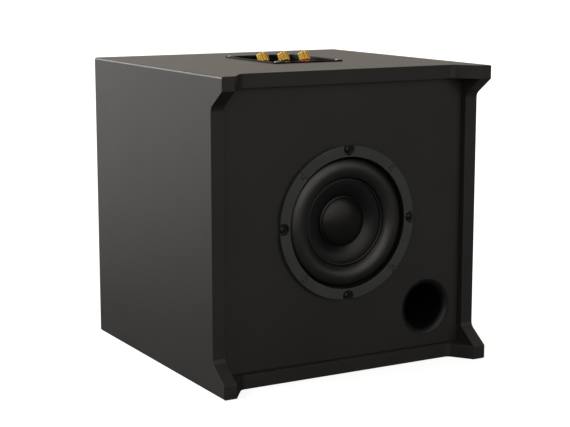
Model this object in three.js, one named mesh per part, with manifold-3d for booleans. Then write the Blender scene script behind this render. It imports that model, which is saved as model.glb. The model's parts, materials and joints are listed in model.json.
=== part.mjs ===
// A compact passive subwoofer, lying on one side with its underside turned to the front.
// Four mitred walls run past the baffle and are cut back between the corners, so that each corner
// is a leg. In use it stands on the four leg ends, with the driver and the port firing at the floor.
//
// Millimetres. The origin is the middle of the wall it lies on: +X right, +Y away from the legs, +Z up.

import * as THREE from 'three';
import { mergeVertices } from 'three/addons/utils/BufferGeometryUtils.js';
import Module from 'manifold-3d';

const wasm = await Module();
wasm.setup();

// ---------------------------------------------------------------- driving dimensions

// Cabinet: a cube
const SIZE = 330;
const WALL = 15;
const BAFFLE = 18;
const LEG_LENGTH = 25; // the leg ends stand this far past the cut edges of the walls
const CHAMFER_RUN = 18; // the slope from a leg to the cut edge, measured along the wall
const CUT_FILLET = 6; // softens the corner between that slope and the cut edge
const BAFFLE_SETBACK = 7.5; // from the cut edges to the face of the baffle
const EDGE_ROUND = 2.5;
const GLUE_LINE = 0.05;
const RING_SIDES = 48; // the driver's large rings share their facets, so that they nest

// Driver: nominal 6.5 inch, heights measured outwards from the face of the baffle
const CUTOUT_R = 76;
const FRAME_R = 83.4;
const FLANGE = [0.4, 2]; // underside and top of the frame's flange
const SCREW_CIRCLE_R = 79.5;
const GASKET_R = [71.7, 83.7];
const GASKET_TOP = 5.5;
const NOTCH_R = 6.8;
const NOTCH_CIRCLE_R = 80;
const LEDGE = { inner: 69.6, outer: 74, z: -4 }; // carries the edge of the surround
const ROLL = { middle: 59, halfWidth: 12, height: 8.2, foot: -3.1 };
const CONE = { rim: 48.3, flat: 45.3, neck: 19.7, depth: 11.5, curve: 2.2, thick: 0.9, z: -3.9 };
const DUST_CAP = { r: 26.7, height: 8, foot: -9.1, thick: 0.7 };
const FORMER = { r: [18.8, 19.3], z: [-60, -13.5] };
const COIL = { r: [19.4, 20.6], z: [-58, -44] };
const SPIDER = { inner: 19.7, outer: 50.8, z: -35.7, wave: 1.6, thick: 0.6, folds: 3 };
const TOP_PLATE = { r: [21.3, 45], z: [-54.1, -48.1] };
const MAGNET = { r: [27, 50], z: [-72.2, -54.2] };
const YOKE = { r: 45, plate: [-78.3, -72.3], pole: 18.4, vent: 6 };
const STRIP = { halfWidth: 10, y: [-66, -49], z: [-39.5, -37.9] };
const TAB = { x: 6, halfWidth: 2.4, y: [-74, -56], z: [-40.6, -39.8] };
const TINSEL_R = 0.8;
const DRIVER_SCREW = { head: 4, rise: 2.5, shank: 1.9, length: 14 };

// Port
const PORT_OFFSET = 105.5; // sideways and down from the middle of the baffle
const PORT = { mouth: 32, bore: 25, skin: 2.5, length: 150, lip: 3, gap: 0.3 };

// Terminal cup, in the wall that faces up
const CUP_AT = [11, 25];
const CUP = { width: 89, length: 122, flange: 1.5, skin: 2.2, gap: 0.1 };
const RECESS = { halfWidth: 39, halfLength: 55.5, corner: 13, shelf: 4, depth: 27 };
const RAMP_ANGLE = THREE.MathUtils.degToRad(28);
const RAMP_TOP = -24; // where the ramp would reach the face of the wall
const CUP_SCREW_AT = [39.5, 56];
const CUP_SCREW = { head: 3.2, rise: 1.5, shank: 1.4, length: 10 };
const SCREW_CLEARANCE = 0.3;

// Binding posts: distances along a post from the face of the ramp
const POST_PITCH = 27.3;
const POST_DOWN_RAMP = 18.8;
const POST = { flange: [0.3, 4.8], ring: [5.1, 7.1], cap: [7.4, 17.6], tail: -16, tip: 14.2 };
const POST_R = { stud: 4, flange: 6.6, ring: 6, cap: 6.75, socket: 2.1, bore: 4.4 };
const CAP_LOBES = 8;
const LUG = { z: [-3.3, -2.5], r: 6, reach: 13, halfWidth: 2.2 };
const NUT = { r: 6.3, thick: 3.5 };

// Inside the cabinet
const WADDING = { half: 128, corner: 25, core: 12, puff: 7, swell: 9, gap: 8 };
const BOARD = { x: [-120, -20], y: [0, 80], z: [15.3, 21.3] };
const CHOKE = { at: [-94, 40], flange: 23, hub: 9, bore: 5, height: 22, cheek: 2 };
const CAPACITOR = { at: [-45, 40], r: 12, length: 42 };
const WIRE_R = 1.4;

const HALF = SIZE / 2;
const INNER_HALF = HALF - WALL;
const BAFFLE_Y = -HALF + LEG_LENGTH + BAFFLE_SETBACK;

// ---------------------------------------------------------------- materials

function finish(color, roughness, metalness) {
  return new THREE.MeshStandardMaterial({ color, roughness, metalness });
}

const FINISH = {
  paint: finish(0x3a3937, 0.55, 0),
  castFrame: finish(0x1d1d1d, 0.5, 0.2),
  gasket: finish(0x2d2f2d, 0.8, 0),
  rubber: finish(0x1c1c1c, 0.7, 0),
  cone: finish(0x121212, 0.75, 0),
  dustCap: finish(0x1c1b1a, 0.65, 0),
  paper: finish(0x8a6a42, 0.8, 0),
  copper: finish(0xb0672f, 0.35, 1),
  spiderCloth: finish(0xb99a5e, 0.9, 0),
  steel: finish(0x9a9a98, 0.4, 1),
  ferrite: finish(0x232323, 0.7, 0),
  blackScrew: finish(0x1a1a1a, 0.4, 0.8),
  blackPlastic: finish(0x0e0e0e, 0.5, 0),
  gold: finish(0xd9a441, 0.25, 1),
  red: finish(0xc4281a, 0.4, 0),
  black: finish(0x101010, 0.4, 0),
  wadding: finish(0xdedbd2, 1, 0),
  board: finish(0x7a5a3a, 0.8, 0),
  film: finish(0xc9a227, 0.5, 0),
};

// ---------------------------------------------------------------- geometry helpers

function weld(geometry) {
  geometry.deleteAttribute('normal');
  geometry.deleteAttribute('uv');
  return mergeVertices(geometry, 1e-3);
}

function toSolid(geometry) {
  const welded = weld(geometry);
  return new wasm.Manifold(new wasm.Mesh({
    numProp: 3,
    vertProperties: welded.attributes.position.array,
    triVerts: new Uint32Array(welded.index.array),
  }));
}

function toGeometry(solid) {
  const mesh = solid.getMesh();
  return new THREE.BufferGeometry()
    .setAttribute('position', new THREE.BufferAttribute(mesh.vertProperties, 3))
    .setIndex(new THREE.BufferAttribute(mesh.triVerts, 1));
}

function cut(geometry, ...tools) {
  const rest = tools.reduce((solid, tool) => solid.subtract(toSolid(tool)), toSolid(geometry));
  return toGeometry(rest);
}

// Turns a closed outline of [radius, height] points about +Z. The outline runs anticlockwise.
function turned(outline, segments) {
  const points = outline.map(([radius, height]) => new THREE.Vector2(radius, height));
  const onAxis = points[0].x === 0 && points[points.length - 1].x === 0;
  if (!onAxis) points.push(points[0].clone());
  return new THREE.LatheGeometry(points, segments).rotateX(Math.PI / 2);
}

function tube([inner, outer], [bottom, top], segments) {
  return turned([[inner, bottom], [outer, bottom], [outer, top], [inner, top]], segments);
}

function prism(shape, bottom, top, curveSegments = 8) {
  const options = { depth: top - bottom, bevelEnabled: false, curveSegments };
  return new THREE.ExtrudeGeometry(shape, options).translate(0, 0, bottom);
}

function rod(radius, bottom, top, segments = 16) {
  return new THREE.CylinderGeometry(radius, radius, top - bottom, segments)
    .rotateX(Math.PI / 2)
    .translate(0, 0, (top + bottom) / 2);
}

function block([x0, x1], [y0, y1], [z0, z1]) {
  return new THREE.BoxGeometry(x1 - x0, y1 - y0, z1 - z0)
    .translate((x0 + x1) / 2, (y0 + y1) / 2, (z0 + z1) / 2);
}

function polar(radius, angle) {
  return [radius * Math.cos(angle), radius * Math.sin(angle)];
}

function steps(count) {
  return Array.from({ length: count + 1 }, (_, i) => i / count);
}

function part(name, geometry, material, position = [0, 0, 0]) {
  geometry.computeVertexNormals();
  const mesh = new THREE.Mesh(geometry, material);
  mesh.name = name;
  mesh.position.set(...position);
  return mesh;
}

function group(position, ...children) {
  const holder = new THREE.Group();
  holder.position.set(...position);
  holder.add(...children);
  return holder;
}

// Drawn flat with +Z as "outwards", then stood up so that +Z points to the front.
function facingFront(position, ...children) {
  const holder = group(position, ...children);
  holder.rotation.x = Math.PI / 2;
  return holder;
}

function quarterAngles() {
  return [0, 1, 2, 3].map((quarter) => quarter * Math.PI / 2);
}

// ---------------------------------------------------------------- cabinet

// The cross-section of a wall: mitred ends, and half of each rounded outer corner.
function wallSection() {
  const shape = new THREE.Shape();
  const far = HALF - GLUE_LINE;
  shape.moveTo(-INNER_HALF + GLUE_LINE, WALL);
  for (const t of steps(2)) {
    const [dx, dy] = polar(EDGE_ROUND, Math.PI * (1.25 + t / 4));
    shape.lineTo(-far + EDGE_ROUND + dx, EDGE_ROUND + dy);
  }
  for (const t of steps(2)) {
    const [dx, dy] = polar(EDGE_ROUND, Math.PI * (1.5 + t / 4));
    shape.lineTo(far - EDGE_ROUND + dx, EDGE_ROUND + dy);
  }
  shape.lineTo(INNER_HALF - GLUE_LINE, WALL);
  return shape;
}

// What is cut away between two legs: a shallow trapezoid, open at the front.
function legCutout() {
  const edge = -HALF + LEG_LENGTH;
  const corner = INNER_HALF - CHAMFER_RUN;
  const slope = Math.hypot(CHAMFER_RUN, LEG_LENGTH);
  const backX = CUT_FILLET * CHAMFER_RUN / slope;
  const backY = CUT_FILLET * LEG_LENGTH / slope;
  const shape = new THREE.Shape();
  shape.moveTo(-INNER_HALF, -HALF - WALL);
  shape.lineTo(INNER_HALF, -HALF - WALL);
  shape.lineTo(INNER_HALF, -HALF);
  shape.lineTo(corner + backX, edge - backY);
  shape.quadraticCurveTo(corner, edge, corner - CUT_FILLET, edge);
  shape.lineTo(-corner + CUT_FILLET, edge);
  shape.quadraticCurveTo(-corner, edge, -corner - backX, edge - backY);
  shape.lineTo(-INNER_HALF, -HALF);
  return prism(shape, -WALL, 2 * WALL, 4);
}

function wall() {
  const plank = prism(wallSection(), 0, SIZE).rotateX(Math.PI / 2).translate(0, HALF, 0);
  return cut(plank, legCutout());
}

// The same wall serves four times, a quarter turn apart about the cabinet's long axis.
function turnedWall(name, quarters, geometry) {
  const holder = group([0, 0, HALF], part(name, geometry, FINISH.paint, [0, 0, -HALF]));
  holder.rotation.y = quarters * Math.PI / 2;
  return holder;
}

// The upper wall is drawn outside-down, as the other walls are, so the cup's openings are mirrored.
function terminalOpenings() {
  const clearance = 0.5;
  const [x, y] = CUP_AT;
  const window = prism(recessOutline(CUP.skin + clearance), -WALL, 2 * WALL, 3).translate(-x, y, 0);
  const pilot = CUP_SCREW.shank + SCREW_CLEARANCE;
  const pilotHoles = cupScrewPlaces().map(([sx, sy]) => (
    rod(pilot, -1, CUP_SCREW.length + 2, 10).translate(-x - sx, y + sy, 0)
  ));
  return [window, ...pilotHoles];
}

function baffle() {
  const half = INNER_HALF - 2 * GLUE_LINE;
  const shape = new THREE.Shape();
  shape.moveTo(-half, -half);
  shape.lineTo(half, -half);
  shape.lineTo(half, half);
  shape.lineTo(-half, half);
  shape.holes.push(new THREE.Path().absarc(0, 0, CUTOUT_R, 0, 2 * Math.PI));
  shape.holes.push(
    new THREE.Path().absarc(PORT_OFFSET, -PORT_OFFSET, PORT.bore + PORT.skin + PORT.gap, 0, 2 * Math.PI),
  );
  const counterbore = rod(PORT.mouth + PORT.gap, -PORT.lip - portFlare() - PORT.gap, 1, 36);
  const pilot = DRIVER_SCREW.shank + SCREW_CLEARANCE;
  const pilotHoles = quarterAngles().map((angle) => (
    rod(pilot, -DRIVER_SCREW.length - 1, 1, 10).translate(...polar(SCREW_CIRCLE_R, angle), 0)
  ));
  return cut(
    prism(shape, -BAFFLE, 0, 18),
    counterbore.translate(PORT_OFFSET, -PORT_OFFSET, 0),
    ...pilotHoles,
  );
}

function rearPanel() {
  const half = INNER_HALF - 2 * GLUE_LINE;
  return block([-half, half], [HALF - WALL, HALF], [HALF - half, HALF + half]);
}

// A blanket of polyester wadding against the rear panel.
function wadding() {
  const { half, corner, core, puff, swell, gap } = WADDING;
  const shape = new THREE.Shape();
  shape.moveTo(-half + corner, -half);
  shape.lineTo(half - corner, -half);
  shape.quadraticCurveTo(half, -half, half, -half + corner);
  shape.lineTo(half, half - corner);
  shape.quadraticCurveTo(half, half, half - corner, half);
  shape.lineTo(-half + corner, half);
  shape.quadraticCurveTo(-half, half, -half, half - corner);
  shape.lineTo(-half, -half + corner);
  shape.quadraticCurveTo(-half, -half, -half + corner, -half);
  const padding = { depth: core, bevelThickness: puff, bevelSize: swell, bevelSegments: 1, curveSegments: 3 };
  return new THREE.ExtrudeGeometry(shape, padding)
    .rotateX(Math.PI / 2)
    .translate(0, HALF - WALL - gap, HALF);
}

function cabinet() {
  return group(
    [0, 0, 0],
    turnedWall('bottom_panel', 0, wall()),
    turnedWall('left_panel', 1, wall()),
    turnedWall('top_panel', 2, cut(wall(), ...terminalOpenings())),
    turnedWall('right_panel', 3, wall()),
    part('rear_panel', rearPanel(), FINISH.paint),
    part('damping_wadding', wadding(), FINISH.wadding),
    facingFront([0, BAFFLE_Y, HALF], part('front_baffle', baffle(), FINISH.paint)),
  );
}

// ---------------------------------------------------------------- driver

// A pressed bowl: flange, ledge for the surround, open spokes, ledge for the spider, flat bottom.
function basket() {
  const skin = 1.6;
  const [under, top] = FLANGE;
  const spiderLedge = SPIDER.z - 0.3;
  const bottom = TOP_PLATE.z[1] + 0.1;
  const bowl = turned([
    [30, bottom],
    [47.6, bottom],
    [47.6, spiderLedge - skin],
    [53, spiderLedge - skin],
    [53, spiderLedge + 2],
    [70, -10],
    [71.5, LEDGE.z - skin],
    [LEDGE.outer + skin, LEDGE.z - skin],
    [LEDGE.outer + skin, under],
    [FRAME_R, under],
    [FRAME_R, top],
    [LEDGE.outer, top],
    [LEDGE.outer, LEDGE.z],
    [LEDGE.inner, LEDGE.z],
    [68.4, -9.5],
    [51.4, spiderLedge + 2.6],
    [51.4, spiderLedge],
    [46, spiderLedge],
    [46, bottom + skin],
    [30, bottom + skin],
  ], RING_SIDES);
  const windows = Array.from({ length: 6 }, (_, i) => basketWindow((i + 0.5) * Math.PI / 3));
  const screwHoles = quarterAngles().map((angle) => (
    rod(DRIVER_SCREW.shank + SCREW_CLEARANCE, under - 1, top + 1, 10)
      .translate(...polar(SCREW_CIRCLE_R, angle), 0)
  ));
  return cut(bowl, ...windows, ...screwHoles);
}

function basketWindow(angle) {
  const half = THREE.MathUtils.degToRad(22);
  const shape = new THREE.Shape();
  shape.absarc(0, 0, 68, angle - half, angle + half, false);
  shape.absarc(0, 0, 55, angle + half, angle - half, true);
  return prism(shape, -33, -11, 2);
}

// One quarter of the flange gasket. Each end carries a dovetail that locks into its neighbour.
function gasketSegment(angle) {
  const [inner, outer] = GASKET_R;
  const skirt = LEDGE.outer - 0.3;
  const lip = FLANGE[1] + 0.3;
  const ring = turned([
    [inner, LEDGE.z + 1.3],
    [skirt, LEDGE.z + 1.3],
    [skirt, lip],
    [outer, lip],
    [outer, GASKET_TOP],
    [inner, GASKET_TOP],
  ], RING_SIDES);
  const joint = (side) => {
    const gap = -0.17 * side;
    const dovetail = [
      [inner - 3, gap],
      [76.6 - gap, gap],
      [75.8 - gap, 3.4 + gap],
      [80.6 + gap, 3.4 + gap],
      [79.8 + gap, gap],
      [outer + 6, gap],
    ];
    const turn = angle + side * Math.PI / 4;
    return dovetail.map(([radius, across]) => new THREE.Vector2(radius, across)
      .rotateAround(new THREE.Vector2(), turn));
  };
  const outside = new THREE.Vector2(...polar(1.55 * outer, angle));
  const sector = new THREE.Shape([...joint(-1).reverse(), ...joint(1), outside]);
  const notch = rod(NOTCH_R, lip - 1, GASKET_TOP + 1, 18)
    .translate(...polar(NOTCH_CIRCLE_R, angle), 0);
  const kept = toSolid(ring).intersect(toSolid(prism(sector, LEDGE.z, GASKET_TOP + 1)));
  return toGeometry(kept.subtract(toSolid(notch)));
}

// Half-roll surround: the outer lip sits on the basket's ledge, the inner one on the cone's rim.
function surround() {
  const thick = 0.8;
  const foot = ROLL.foot;
  const over = steps(6).map((t) => {
    const [x, y] = polar(1, Math.PI * t);
    return [ROLL.middle + ROLL.halfWidth * x, foot + ROLL.height * y];
  });
  const under = steps(6).map((t) => {
    const [x, y] = polar(1, Math.PI * (1 - t));
    return [ROLL.middle + (ROLL.halfWidth - thick) * x, foot - thick + ROLL.height * y];
  });
  const rim = CONE.flat + 0.3;
  return turned([
    [rim, foot - thick + 0.1],
    ...under,
    [LEDGE.outer - 0.3, foot - thick + 0.1],
    [LEDGE.outer - 0.3, foot],
    ...over,
    [rim, foot],
  ], RING_SIDES);
}

// Height of the cone's face at a radius: flat at the rim, steeper towards the neck.
function coneFace(radius) {
  const inward = Math.max(0, (CONE.flat - radius) / (CONE.flat - CONE.neck));
  return CONE.z - 0.1 - CONE.depth * inward ** CONE.curve;
}

function cone() {
  const radii = steps(4).map((t) => CONE.neck + (CONE.flat - CONE.neck) * t);
  const face = [...radii, CONE.rim].map((r) => [r, coneFace(r)]);
  const back = face.map(([r, z]) => [r, z - CONE.thick]);
  return turned([...back, ...face.reverse()], RING_SIDES);
}

function dustCap() {
  const { r, height, foot, thick } = DUST_CAP;
  const dome = (radius, rise) => steps(4).map((t) => {
    const [x, y] = polar(1, (1 - t) * Math.PI / 2);
    return [t === 0 ? 0 : radius * x, foot + rise * y];
  });
  return turned([...dome(r - 1.2 * thick, height - thick), ...dome(r, height).reverse()], 24);
}

function spider() {
  const { inner, outer, z, wave, thick, folds } = SPIDER;
  const start = inner + 3;
  const end = outer - 4.5;
  const ripple = steps(2 * folds).map((t) => [
    start + (end - start) * t,
    z + wave * Math.sin(Math.PI * (2 * folds * t + 0.5)) + wave,
  ]);
  const middle = [[inner, ripple[0][1]], ...ripple, [end + 1.5, z], [outer, z]];
  const over = middle.map(([r, h]) => [r, h + thick]);
  return turned([...middle, ...over.reverse()], 24);
}

function yoke() {
  const [bottom, top] = YOKE.plate;
  return turned([
    [YOKE.vent, bottom],
    [YOKE.r, bottom],
    [YOKE.r, top],
    [YOKE.pole, top],
    [YOKE.pole, TOP_PLATE.z[1]],
    [YOKE.vent, TOP_PLATE.z[1]],
  ], 24);
}

// Pan-head screw with a cross recess. The head sits on height zero.
function panScrew({ head, rise, shank, length }) {
  const body = turned([
    [0, -length],
    [shank, -length + shank],
    [shank, 0],
    [head, 0],
    [head, 0.55 * rise],
    [0.6 * head, rise],
    [0, rise],
  ], 10);
  const arm = [-0.55 * head, 0.55 * head];
  const width = [-0.13 * head, 0.13 * head];
  const depth = [0.45 * rise, rise + 1];
  return cut(body, block(arm, width, depth), block(width, arm, depth));
}

function tinselLead(side) {
  const x = side * TAB.x;
  return cable([
    [x, -29, -9.5 - TINSEL_R],
    [x * 1.1, -44, -21],
    [x * 1.1, -57, -29],
    [x, -60, STRIP.z[1] + 0.4],
  ], TINSEL_R);
}

// A round cable along a smooth curve through the points given.
function cable(points, radius, count = 12) {
  const path = new THREE.CatmullRomCurve3(points.map((point) => new THREE.Vector3(...point)));
  const circle = new THREE.Shape();
  steps(6).slice(0, -1).forEach((t, i) => {
    const corner = polar(radius, 2 * Math.PI * t);
    if (i === 0) circle.moveTo(...corner);
    else circle.lineTo(...corner);
  });
  return new THREE.ExtrudeGeometry(circle, { steps: count, bevelEnabled: false, extrudePath: path });
}

function driver() {
  const segments = quarterAngles().map((angle, i) => (
    part(`gasket_segment_${i + 1}`, gasketSegment(angle), FINISH.gasket)
  ));
  const screws = quarterAngles().map((angle, i) => part(
    `driver_screw_${i + 1}`,
    panScrew(DRIVER_SCREW),
    FINISH.blackScrew,
    [...polar(SCREW_CIRCLE_R, angle), FLANGE[1] + 0.1],
  ));
  const leads = [-1, 1].map((side, i) => (
    part(`tinsel_lead_${i + 1}`, tinselLead(side), FINISH.copper)
  ));
  const tabs = [-1, 1].map((side, i) => part(
    `driver_tab_${i + 1}`,
    block([-TAB.halfWidth, TAB.halfWidth], TAB.y, TAB.z),
    FINISH.steel,
    [side * TAB.x, 0, 0],
  ));
  return facingFront(
    [0, BAFFLE_Y, HALF],
    part('basket', basket(), FINISH.castFrame),
    ...segments,
    ...screws,
    part('surround', surround(), FINISH.rubber),
    part('cone', cone(), FINISH.cone),
    part('dust_cap', dustCap(), FINISH.dustCap),
    part('voice_coil_former', tube(FORMER.r, FORMER.z, 24), FINISH.paper),
    part('voice_coil', tube(COIL.r, COIL.z, 24), FINISH.copper),
    part('spider', spider(), FINISH.spiderCloth),
    part('top_plate', tube(TOP_PLATE.r, TOP_PLATE.z, 24), FINISH.steel),
    part('magnet', tube(MAGNET.r, MAGNET.z, 24), FINISH.ferrite),
    part('yoke', yoke(), FINISH.steel),
    part(
      'driver_terminal_strip',
      block([-STRIP.halfWidth, STRIP.halfWidth], STRIP.y, STRIP.z),
      FINISH.paper,
    ),
    ...tabs,
    ...leads,
  );
}

// ---------------------------------------------------------------- port

function portFlare() {
  return PORT.mouth - PORT.bore;
}

// A tube whose mouth flares out as a quarter round and lies flush with the baffle.
function portTube() {
  const { mouth, bore, skin, length, lip } = PORT;
  const flare = portFlare();
  const quarterRound = steps(4).map((t) => {
    const [x, y] = polar(flare, Math.PI * (1 - t / 2));
    return [mouth + x, -flare + y];
  });
  return turned([
    [bore, -length],
    [bore + skin, -length],
    [bore + skin, -flare - lip],
    [mouth, -flare - lip],
    ...quarterRound.reverse(),
  ], 32);
}

// ---------------------------------------------------------------- terminal cup and posts

function cupScrewPlaces() {
  const [x, y] = CUP_SCREW_AT;
  return [[-x, -y], [x, -y], [x, y], [-x, y]];
}

// The recess seen from above, grown by a margin.
function recessOutline(margin) {
  const corner = RECESS.corner + margin;
  const [x, y] = [RECESS.halfWidth + margin - corner, RECESS.halfLength + margin - corner];
  const shape = new THREE.Shape();
  [[x, y], [-x, y], [-x, -y], [x, -y]].forEach(([atX, atY], i) => {
    shape.absarc(atX, atY, corner, i * Math.PI / 2, (i + 1) * Math.PI / 2);
  });
  return shape;
}

// The recess, grown by a margin: a shelf at the front, then the ramp, then the deep end.
function recessBody(margin, top) {
  const slope = Math.tan(RAMP_ANGLE);
  const shelf = RECESS.shelf + margin;
  const depth = RECESS.depth + margin;
  const under = margin / Math.cos(RAMP_ANGLE);
  const side = [
    [-CUP.length, top],
    [-CUP.length, -shelf],
    [RAMP_TOP + (shelf - under) / slope, -shelf],
    [RAMP_TOP + (depth - under) / slope, -depth],
    [CUP.length, -depth],
    [CUP.length, top],
  ];
  const shape = new THREE.Shape(side.map(([y, z]) => new THREE.Vector2(y, z)));
  const body = prism(shape, -CUP.width, CUP.width).rotateX(Math.PI / 2).rotateZ(Math.PI / 2);
  const plan = prism(recessOutline(margin), -2 * depth, 2 * depth, 3);
  return toGeometry(toSolid(body).intersect(toSolid(plan)));
}

// A flanged cup whose floor slopes under the posts.
function terminalCup() {
  const { width, length, flange, skin, gap } = CUP;
  const plate = block([-width / 2, width / 2], [-length / 2, length / 2], [gap, gap + flange]);
  const shell = recessBody(skin, gap + flange / 2);
  const hollow = recessBody(0, 2 * flange);
  const studHoles = postPlaces().map(([x, y, z]) => (
    rod(POST_R.stud + 0.3, -2 * skin, skin, 16).rotateX(-RAMP_ANGLE).translate(x, y, z)
  ));
  const screwHoles = cupScrewPlaces().map(([x, y]) => (
    rod(CUP_SCREW.shank + SCREW_CLEARANCE, -1, 2 * flange, 10).translate(x, y, 0)
  ));
  const joined = toGeometry(toSolid(plate).add(toSolid(shell)));
  return cut(joined, hollow, ...studHoles, ...screwHoles);
}

function postPlaces() {
  const y = RAMP_TOP + POST_DOWN_RAMP * Math.cos(RAMP_ANGLE);
  const z = -POST_DOWN_RAMP * Math.sin(RAMP_ANGLE);
  return [-1, 0, 1].map((step) => [step * POST_PITCH, y, z]);
}

// A scalloped knob, bored for the stud from below and for a plug from above.
function postCap() {
  const [bottom, top] = POST.cap;
  const shape = new THREE.Shape();
  const count = 4 * CAP_LOBES;
  steps(count).slice(0, -1).forEach((t, i) => {
    const dip = 0.55 * Math.max(0, -Math.cos(2 * Math.PI * CAP_LOBES * t));
    const corner = polar(POST_R.cap - 0.6 - dip, 2 * Math.PI * t);
    if (i === 0) shape.moveTo(...corner);
    else shape.lineTo(...corner);
  });
  const bevel = 0.6;
  const knob = new THREE.ExtrudeGeometry(shape, {
    depth: top - bottom - 2 * bevel,
    bevelThickness: bevel,
    bevelSize: bevel,
    bevelSegments: 1,
  }).translate(0, 0, bottom + bevel);
  return cut(
    knob,
    rod(POST_R.bore, bottom - 1, POST.tip + 0.5, 12),
    rod(POST_R.socket, POST.tip, top + 1, 8),
  );
}

function postStud() {
  const [low, high] = POST.flange;
  const body = turned([
    [0, POST.tail],
    [POST_R.stud, POST.tail],
    [POST_R.stud, low],
    [POST_R.flange, low],
    [POST_R.flange, high],
    [POST_R.stud, high],
    [POST_R.stud, POST.tip],
    [0, POST.tip],
  ], 12);
  const plugBore = rod(POST_R.socket, POST.flange[1], POST.tip + 1, 8);
  const wireHole = rod(1.6, -2 * POST_R.stud, 2 * POST_R.stud, 10)
    .rotateY(Math.PI / 2)
    .translate(0, 0, POST.ring[1] + 1.5);
  return cut(body, plugBore, wireHole);
}

function solderLug() {
  const shape = new THREE.Shape();
  shape.absarc(0, 0, LUG.r, 0, 2 * Math.PI);
  shape.holes.push(new THREE.Path().absarc(0, 0, POST_R.stud + 0.2, 0, 2 * Math.PI));
  const eye = prism(shape, ...LUG.z, 6);
  const tab = block([-LUG.halfWidth, LUG.halfWidth], [LUG.r - 1.2, LUG.reach], LUG.z);
  return toGeometry(toSolid(eye).add(toSolid(tab)));
}

function hexNut() {
  const top = LUG.z[0] - 0.3;
  const bottom = top - NUT.thick;
  return cut(rod(NUT.r, bottom, top, 6), rod(POST_R.stud + 0.2, bottom - 1, top + 1, 16));
}

const POST_COLOURS = [FINISH.red, FINISH.black, FINISH.red];

function post(index, place) {
  const holder = group(
    place,
    part(`post_stud_${index + 1}`, postStud(), FINISH.gold),
    part(`post_ring_${index + 1}`, tube([4.3, POST_R.ring], POST.ring, 16), POST_COLOURS[index]),
    part(`post_cap_${index + 1}`, postCap(), FINISH.gold),
    part(`post_lug_${index + 1}`, solderLug(), FINISH.steel),
    part(`post_nut_${index + 1}`, hexNut(), FINISH.steel),
  );
  holder.rotation.x = -RAMP_ANGLE;
  return holder;
}

function terminals() {
  const screws = cupScrewPlaces().map(([x, y], i) => part(
    `cup_screw_${i + 1}`,
    panScrew(CUP_SCREW),
    FINISH.steel,
    [x, y, CUP.gap + CUP.flange + 0.1],
  ));
  return group(
    [...CUP_AT, SIZE],
    part('terminal_cup', terminalCup(), FINISH.blackPlastic),
    ...screws,
    ...postPlaces().map((place, i) => post(i, place)),
  );
}

// ---------------------------------------------------------------- crossover and wiring

function chokeBobbin() {
  const { flange, hub, bore, height, cheek } = CHOKE;
  return turned([
    [bore, 0],
    [flange, 0],
    [flange, cheek],
    [hub, cheek],
    [hub, height - cheek],
    [flange, height - cheek],
    [flange, height],
    [bore, height],
  ], 18);
}

function capacitor() {
  const { r, length } = CAPACITOR;
  return turned([[0, 0], [r - 2, 0], [r, 2], [r, length - 2], [r - 2, length], [0, length]], 16)
    .rotateX(Math.PI / 2)
    .translate(0, length / 2, r);
}

function crossover() {
  const floor = BOARD.z[1] + 0.3;
  const winding = tube(
    [CHOKE.hub + 0.3, CHOKE.flange - 2],
    [CHOKE.cheek + 0.3, CHOKE.height - CHOKE.cheek - 0.3],
    18,
  );
  return group(
    [0, 0, 0],
    part('crossover_board', block(BOARD.x, BOARD.y, BOARD.z), FINISH.board),
    part('choke_bobbin', chokeBobbin(), FINISH.blackPlastic, [...CHOKE.at, floor]),
    part('choke_winding', winding, FINISH.copper, [...CHOKE.at, floor]),
    part('crossover_capacitor', capacitor(), FINISH.film, [...CAPACITOR.at, floor]),
  );
}

// The end of a solder lug's tab, in the object's frame.
function lugEnd([x, y, z]) {
  return new THREE.Vector3(0, LUG.reach - 2, LUG.z[0] - WIRE_R - 0.4)
    .applyAxisAngle(new THREE.Vector3(1, 0, 0), -RAMP_ANGLE)
    .add(new THREE.Vector3(x + CUP_AT[0], y + CUP_AT[1], z + SIZE))
    .toArray();
}

function wiring() {
  const deck = BOARD.z[1] + WIRE_R + 0.3;
  const feeds = postPlaces().map((place, i) => {
    const end = lugEnd(place);
    const landing = BOARD.y[1] - 12 * (i + 1);
    const points = [
      end,
      [end[0] - 4, end[1] + 12, end[2] - 30],
      [end[0] - 18, 60, 160],
      [-6 + 8 * i, landing + 8, 60],
      [-14, landing, deck + 4],
      [-24, landing, deck],
    ];
    return part(`post_wire_${i + 1}`, cable(points, WIRE_R, 18), POST_COLOURS[i]);
  });
  const returns = [-1, 1].map((side, i) => {
    const tabEnd = [side * TAB.x, BAFFLE_Y - TAB.z[0], HALF + TAB.y[0] - 0.5];
    const points = [
      [-36 + 6 * side, 14, deck],
      [-34 + 7 * side, -6, deck + 5],
      [-16 + 7 * side, -60, 34],
      [side * TAB.x, -88, 62],
      tabEnd,
    ];
    return part(`driver_wire_${i + 1}`, cable(points, WIRE_R), POST_COLOURS[i + 1]);
  });
  return group([0, 0, 0], ...feeds, ...returns);
}

// ---------------------------------------------------------------- the whole subwoofer

const subwoofer = group(
  [0, 0, 0],
  cabinet(),
  driver(),
  facingFront(
    [PORT_OFFSET, BAFFLE_Y, HALF - PORT_OFFSET],
    part('port_tube', portTube(), FINISH.blackPlastic),
  ),
  terminals(),
  crossover(),
  wiring(),
);

export default subwoofer;
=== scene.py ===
"""The looks of a compact passive subwoofer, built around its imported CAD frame.

Outlines are drawn in millimetres, and placed in the frame in metres. A part drawn in the driver's or the
port's own space has +Z pointing out of the baffle. A part of a binding post has +Z along the post.
"""

import json
from math import cos, hypot, pi, radians, sin, tan

import bmesh
import bpy
from mathutils import Matrix, Vector, noise


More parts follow.
